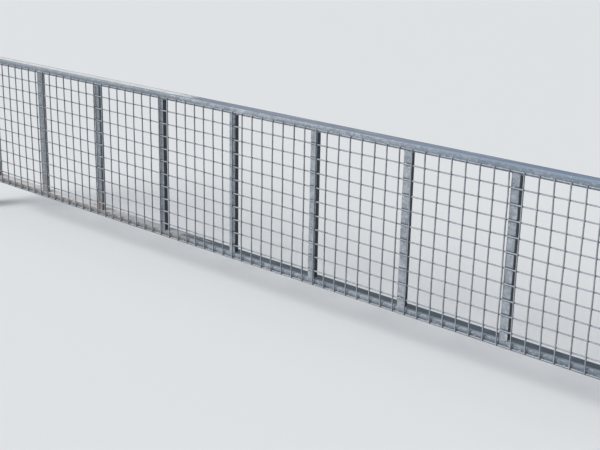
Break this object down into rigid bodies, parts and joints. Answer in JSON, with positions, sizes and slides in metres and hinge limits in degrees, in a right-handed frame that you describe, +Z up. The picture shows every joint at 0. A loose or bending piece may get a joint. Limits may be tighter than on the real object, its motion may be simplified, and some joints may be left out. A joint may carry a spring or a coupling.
{
  "type": "wire mesh gate",
  "caption": "Low, long swing gate: a galvanised box-section leaf clad in welded square wire mesh, hung on gudgeon pins between square posts.",
  "frame": {"origin": "middle of the hinge post's foot, at ground level", "axes": "+X along the closed leaf from the hinge post to the latch post, +Y away from the mesh side, +Z up"},
  "size_m": [3.472, 0.086, 0.854],
  "materials": {
    "frame_steel": "hot-dip galvanised, weathered",
    "mesh_wire": "galvanised, dull",
    "post_steel": "hot-dip galvanised, weathered",
    "fitting_steel": "hot-dip galvanised, weathered"
  },
  "bodies": {
    "posts": {"hinge_post": "post_steel", "hinge_post_cap": "post_steel", "lower_gudgeon": "fitting_steel", "upper_gudgeon": "fitting_steel", "latch_post": "post_steel", "latch_post_cap": "post_steel", "stop_plate": "fitting_steel"},
    "leaf": {"top_rail": "frame_steel", "bottom_rail": "frame_steel", "top_rail_ends": "frame_steel", "bottom_rail_ends": "frame_steel", "hinge_stile": "frame_steel", "latch_stile": "frame_steel", "upright_1": "frame_steel", "upright_2": "frame_steel", "upright_3": "frame_steel", "upright_4": "frame_steel", "upright_5": "frame_steel", "upright_6": "frame_steel", "upright_7": "frame_steel", "hinge_side_mesh": "mesh_wire", "latch_side_mesh": "mesh_wire", "lower_eye_bolt": "fitting_steel", "upper_eye_bolt": "fitting_steel", "lower_hinge_nuts": "fitting_steel", "upper_hinge_nuts": "fitting_steel", "padlock_lug": "fitting_steel"}
  },
  "joints": [
    {"name": "leaf_swing", "type": "hinge", "parent": "posts", "child": "leaf", "pos_m": [0.085, 0, 0], "axis": [0, 0, -1], "range_deg": [0, 100]}
  ]
}
